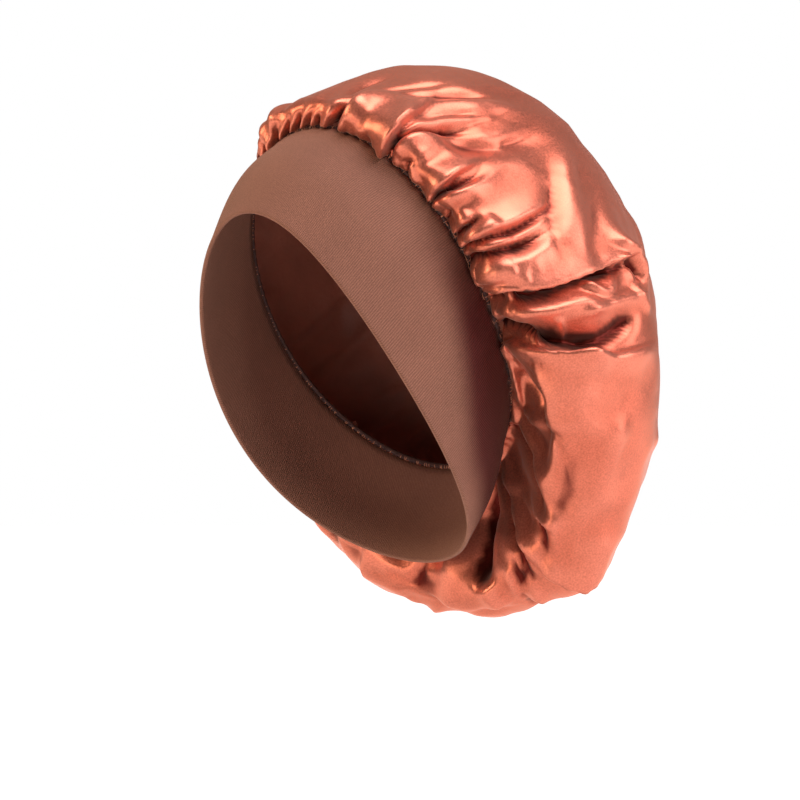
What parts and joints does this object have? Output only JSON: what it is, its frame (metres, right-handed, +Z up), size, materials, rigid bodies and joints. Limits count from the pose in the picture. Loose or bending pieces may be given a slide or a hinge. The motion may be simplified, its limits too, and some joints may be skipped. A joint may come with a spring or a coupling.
{
  "type": "sleep bonnet",
  "caption": "Slouchy satin sleep bonnet: a gathered bag sewn with an overlocked seam to a wide stretch-knit band, open where the head goes in.",
  "frame": {"origin": "centre of the head that the bonnet fits, inside the band", "axes": "+Z up with the wearer's head upright, -Y to the brow, +X to the wearer's left"},
  "size_m": [0.2454, 0.2614, 0.2996],
  "materials": {
    "knit": "matt brown stretch knit with a fine diagonal rib",
    "thread": "dark and copper overlock thread",
    "satin": "glossy copper rose satin"
  },
  "bodies": {
    "root": {"band": "knit", "overlock_seam": "thread", "crown_bag": "satin"}
  },
  "joints": []
}
